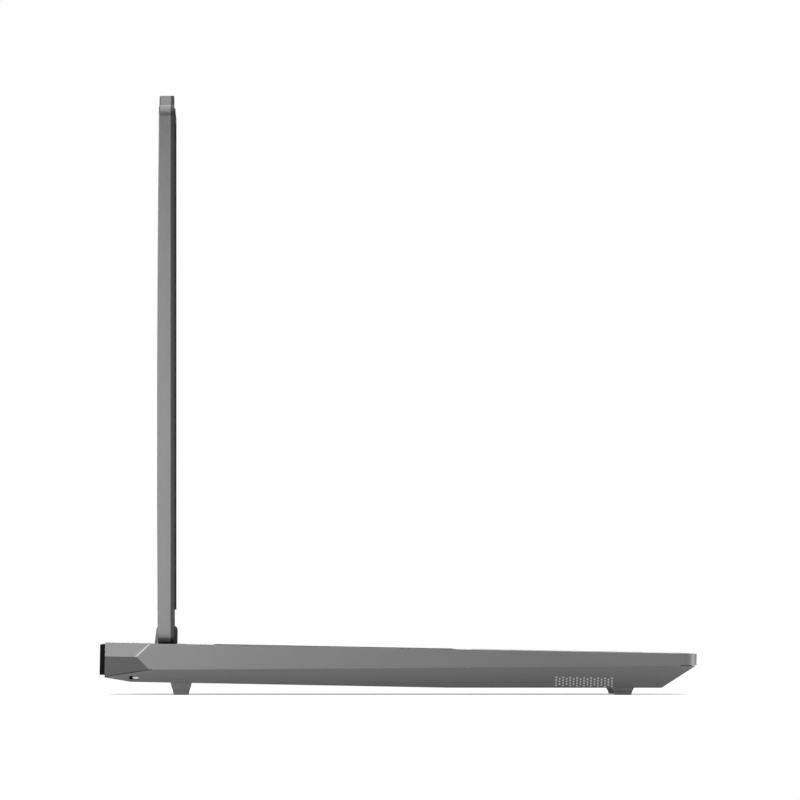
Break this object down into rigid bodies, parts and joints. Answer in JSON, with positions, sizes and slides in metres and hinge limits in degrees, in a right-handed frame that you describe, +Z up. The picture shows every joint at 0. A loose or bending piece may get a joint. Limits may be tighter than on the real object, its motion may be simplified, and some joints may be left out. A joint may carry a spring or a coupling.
{
  "type": "laptop computer",
  "caption": "Clamshell laptop with a hinged display lid, full keyboard, touchpad, rear socket panel and cooling fans, standing open at a right angle.",
  "frame": {"origin": "middle of the bounding box at the table, under the open computer", "axes": "+X to the user's right, +Y to the rear where the hinge and sockets are, +Z up"},
  "size_m": [0.36, 0.2601, 0.2629],
  "materials": {
    "lid_metal": "bead-blasted and anodised, satin",
    "case_metal": "bead-blasted and anodised, satin",
    "cover_plastic": "fine moulded texture",
    "shroud_plastic": "satin paint",
    "port_panel_plastic": "fine moulded texture",
    "bezel_plastic": "fine moulded texture",
    "black_rubber": "matt",
    "pad_rubber": "matt",
    "display_glass": "anti-glare film",
    "lens_black": "polished",
    "steel": "plain",
    "screw_steel": "black oxide",
    "inner_metal": "plain sheet",
    "inner_plastic": "moulded",
    "circuit_board": "solder mask",
    "battery_wrap": "wrapped film",
    "copper": "plain copper",
    "chip_silicon": "bare die",
    "key_plastic": "fine moulded texture",
    "touchpad_surface": "etched, satin",
    "button_metal": "satin"
  },
  "bodies": {
    "base": {"top_case": "case_metal", "bottom_cover": "cover_plastic", "rear_shroud": "shroud_plastic", "shroud_cheeks": "cover_plastic", "rear_port_panel": "port_panel_plastic", "hinge_tower_left": "case_metal", "hinge_tower_right": "case_metal", "keyboard_plate": "inner_metal", "main_board": "circuit_board", "battery": "battery_wrap", "speaker_left": "inner_plastic", "speaker_right": "inner_plastic", "fan_housing_left": "inner_plastic", "fan_housing_right": "inner_plastic", "radiator_fins": "copper", "heat_pipes": "copper", "processor_chips": "chip_silicon", "cold_plates": "copper", "memory_modules": "circuit_board", "storage_drive": "circuit_board", "wireless_card": "circuit_board", "power_inlet": "steel", "network_port": "steel", "video_port": "steel", "usb_a_ports": "steel", "usb_c_port": "steel", "headset_jack": "inner_plastic", "cover_screws": "screw_steel", "rear_feet": "cover_plastic", "front_feet": "cover_plastic", "foot_pads": "pad_rubber"},
    "display_lid": {"lid_cover": "lid_metal", "display_bezel": "bezel_plastic", "bezel_gasket": "black_rubber", "display_panel": "display_glass", "camera_module": "lens_black", "hinge_leaf_left": "steel", "hinge_leaf_right": "steel"},
    "fan_wheel_left": {"fan_wheel_left": "inner_plastic"},
    "fan_wheel_right": {"fan_wheel_right": "inner_plastic"},
    "function_keys": {"function_keys": "key_plastic"},
    "number_keys": {"number_keys": "key_plastic"},
    "backspace_key": {"backspace_key": "key_plastic"},
    "upper_letter_keys": {"upper_letter_keys": "key_plastic"},
    "tab_key": {"tab_key": "key_plastic"},
    "home_letter_keys": {"home_letter_keys": "key_plastic"},
    "caps_key": {"caps_key": "key_plastic"},
    "enter_key": {"enter_key": "key_plastic"},
    "lower_letter_keys": {"lower_letter_keys": "key_plastic"},
    "left_shift_key": {"left_shift_key": "key_plastic"},
    "right_shift_key": {"right_shift_key": "key_plastic"},
    "modifier_keys": {"modifier_keys": "key_plastic"},
    "space_bar": {"space_bar": "key_plastic"},
    "arrow_keys": {"arrow_keys": "key_plastic"},
    "number_pad_keys": {"number_pad_keys": "key_plastic"},
    "touchpad": {"touchpad": "touchpad_surface"},
    "power_button": {"power_button": "button_metal"},
    "lens_cover_slider": {"lens_cover_slider": "key_plastic"}
  },
  "joints": [
    {"name": "display_hinge", "type": "hinge", "parent": "base", "child": "display_lid", "pos_m": [0, 0.1012, 0.0266], "axis": [1, 0, 0], "range_deg": [-80, 91]},
    {"name": "fan_spin_left", "type": "hinge", "parent": "base", "child": "fan_wheel_left", "pos_m": [-0.092, 0.06019, 0.01054], "axis": [0, -0.0186, 0.9998], "continuous": true},
    {"name": "fan_spin_right", "type": "hinge", "parent": "base", "child": "fan_wheel_right", "pos_m": [0.092, 0.06019, 0.01054], "axis": [0, -0.0186, 0.9998], "continuous": true},
    {"name": "function_keys_press", "type": "slide", "parent": "base", "child": "function_keys", "axis": [0, 0.0186, -0.9998], "range_m": [0, 0.0012], "stiffness_N_per_m": 400, "springref_m": -0.0006},
    {"name": "number_keys_press", "type": "slide", "parent": "base", "child": "number_keys", "axis": [0, 0.0186, -0.9998], "range_m": [0, 0.0012], "stiffness_N_per_m": 400, "springref_m": -0.0006},
    {"name": "backspace_key_press", "type": "slide", "parent": "base", "child": "backspace_key", "axis": [0, 0.0186, -0.9998], "range_m": [0, 0.0012], "stiffness_N_per_m": 400, "springref_m": -0.0006},
    {"name": "upper_letter_keys_press", "type": "slide", "parent": "base", "child": "upper_letter_keys", "axis": [0, 0.0186, -0.9998], "range_m": [0, 0.0012], "stiffness_N_per_m": 400, "springref_m": -0.0006},
    {"name": "tab_key_press", "type": "slide", "parent": "base", "child": "tab_key", "axis": [0, 0.0186, -0.9998], "range_m": [0, 0.0012], "stiffness_N_per_m": 400, "springref_m": -0.0006},
    {"name": "home_letter_keys_press", "type": "slide", "parent": "base", "child": "home_letter_keys", "axis": [0, 0.0186, -0.9998], "range_m": [0, 0.0012], "stiffness_N_per_m": 400, "springref_m": -0.0006},
    {"name": "caps_key_press", "type": "slide", "parent": "base", "child": "caps_key", "axis": [0, 0.0186, -0.9998], "range_m": [0, 0.0012], "stiffness_N_per_m": 400, "springref_m": -0.0006},
    {"name": "enter_key_press", "type": "slide", "parent": "base", "child": "enter_key", "axis": [0, 0.0186, -0.9998], "range_m": [0, 0.0012], "stiffness_N_per_m": 400, "springref_m": -0.0006},
    {"name": "lower_letter_keys_press", "type": "slide", "parent": "base", "child": "lower_letter_keys", "axis": [0, 0.0186, -0.9998], "range_m": [0, 0.0012], "stiffness_N_per_m": 400, "springref_m": -0.0006},
    {"name": "left_shift_key_press", "type": "slide", "parent": "base", "child": "left_shift_key", "axis": [0, 0.0186, -0.9998], "range_m": [0, 0.0012], "stiffness_N_per_m": 400, "springref_m": -0.0006},
    {"name": "right_shift_key_press", "type": "slide", "parent": "base", "child": "right_shift_key", "axis": [0, 0.0186, -0.9998], "range_m": [0, 0.0012], "stiffness_N_per_m": 400, "springref_m": -0.0006},
    {"name": "modifier_keys_press", "type": "slide", "parent": "base", "child": "modifier_keys", "axis": [0, 0.0186, -0.9998], "range_m": [0, 0.0012], "stiffness_N_per_m": 400, "springref_m": -0.0006},
    {"name": "space_bar_press", "type": "slide", "parent": "base", "child": "space_bar", "axis": [0, 0.0186, -0.9998], "range_m": [0, 0.0012], "stiffness_N_per_m": 400, "springref_m": -0.0006},
    {"name": "arrow_keys_press", "type": "slide", "parent": "base", "child": "arrow_keys", "axis": [0, 0.0186, -0.9998], "range_m": [0, 0.0012], "stiffness_N_per_m": 400, "springref_m": -0.0006},
    {"name": "number_pad_keys_press", "type": "slide", "parent": "base", "child": "number_pad_keys", "axis": [0, 0.0186, -0.9998], "range_m": [0, 0.0012], "stiffness_N_per_m": 400, "springref_m": -0.0006},
    {"name": "touchpad_click", "type": "slide", "parent": "base", "child": "touchpad", "axis": [0, 0.0186, -0.9998], "range_m": [0, 0.0003], "stiffness_N_per_m": 3000, "springref_m": -0.0006},
    {"name": "power_button_press", "type": "slide", "parent": "base", "child": "power_button", "axis": [0, 0.0186, -0.9998], "range_m": [0, 0.0006], "stiffness_N_per_m": 1500, "springref_m": -0.0005},
    {"name": "lens_cover_slide", "type": "slide", "parent": "base", "child": "lens_cover_slider", "axis": [0, 0.9998, 0.0186], "range_m": [-0.0015, 0.0015]}
  ]
}
